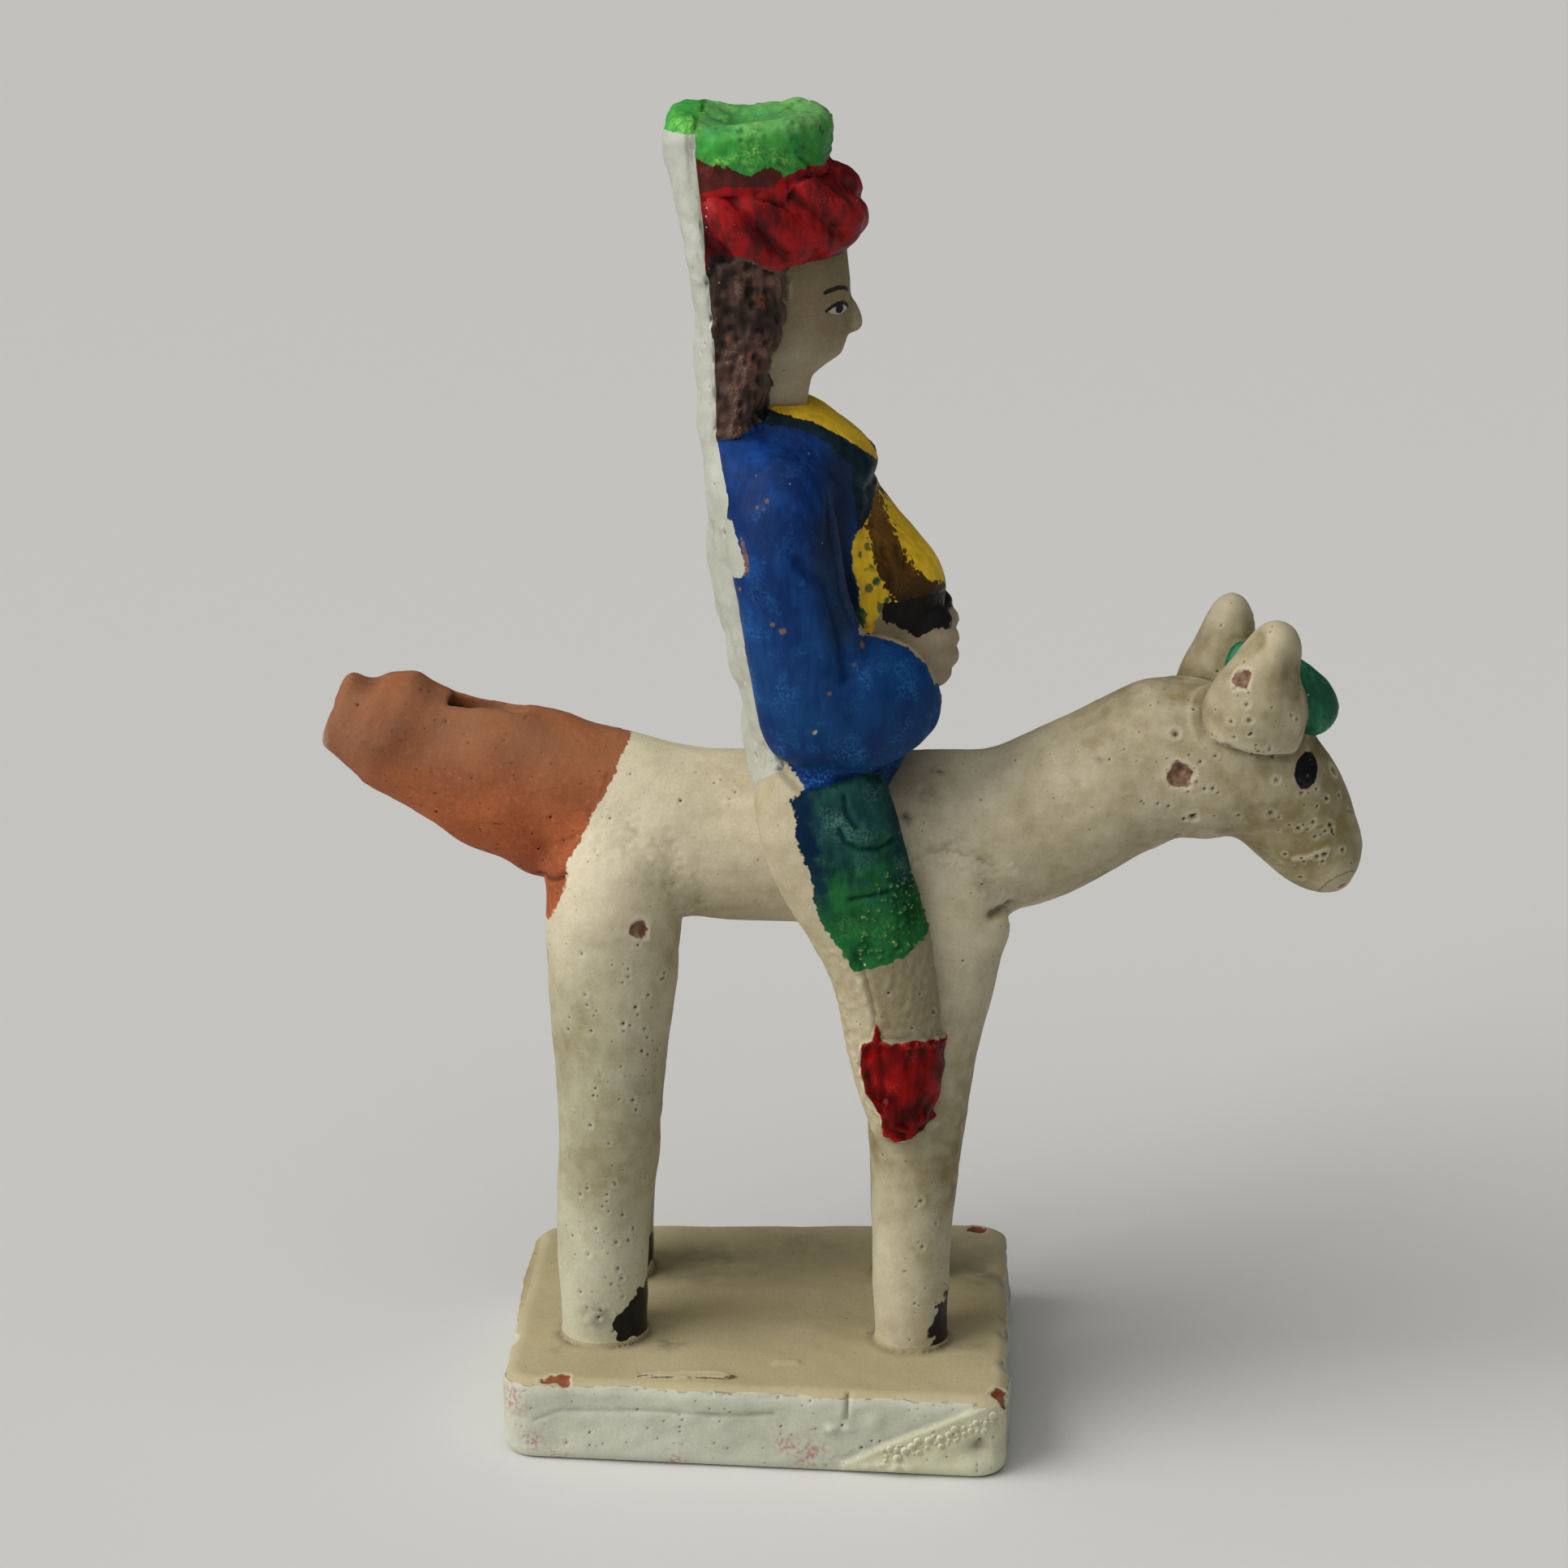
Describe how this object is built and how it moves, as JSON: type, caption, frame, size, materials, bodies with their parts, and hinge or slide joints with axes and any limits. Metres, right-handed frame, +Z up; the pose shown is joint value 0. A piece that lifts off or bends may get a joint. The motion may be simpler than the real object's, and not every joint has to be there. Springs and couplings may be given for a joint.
{
  "type": "horse and rider whistle",
  "caption": "Painted clay figure of a rider on a long-necked horse on a slab, with a whistle in the horse's tail.",
  "frame": {"origin": "middle of the slab's underside", "axes": "+X the way the horse looks, +Y the rider's left side (away from the picture's viewer), +Z up"},
  "size_m": [0.1564, 0.068, 0.199],
  "materials": {
    "cream_slip": "thin matt cream slip, pitted and scuffed",
    "bare_terracotta": "bare low-fired clay, matt",
    "forelock_green": "thick satin paint",
    "jacket_blue": "brushed satin paint, worn at the edges",
    "trouser_green": "brushed satin paint over a granular ground",
    "hair_brown": "rough matt paint",
    "wreath_red": "deep gloss paint, worn on the ridges",
    "crown_green": "thick matt paint, blotched"
  },
  "bodies": {
    "root": {"base_slab": "cream_slip", "near_hind_leg": "cream_slip", "far_hind_leg": "cream_slip", "near_foreleg": "cream_slip", "far_foreleg": "cream_slip", "horse_body": "cream_slip", "near_ear": "cream_slip", "far_ear": "cream_slip", "forelock": "forelock_green", "whistle_tube": "bare_terracotta", "rider_back": "cream_slip", "rider_torso": "jacket_blue", "near_arm": "jacket_blue", "far_arm": "jacket_blue", "near_hand": "cream_slip", "far_hand": "cream_slip", "near_rider_leg": "trouser_green", "far_rider_leg": "trouser_green", "rider_head": "cream_slip", "rider_hair": "hair_brown", "hat_wreath": "wreath_red", "hat_crown": "crown_green"}
  },
  "joints": []
}
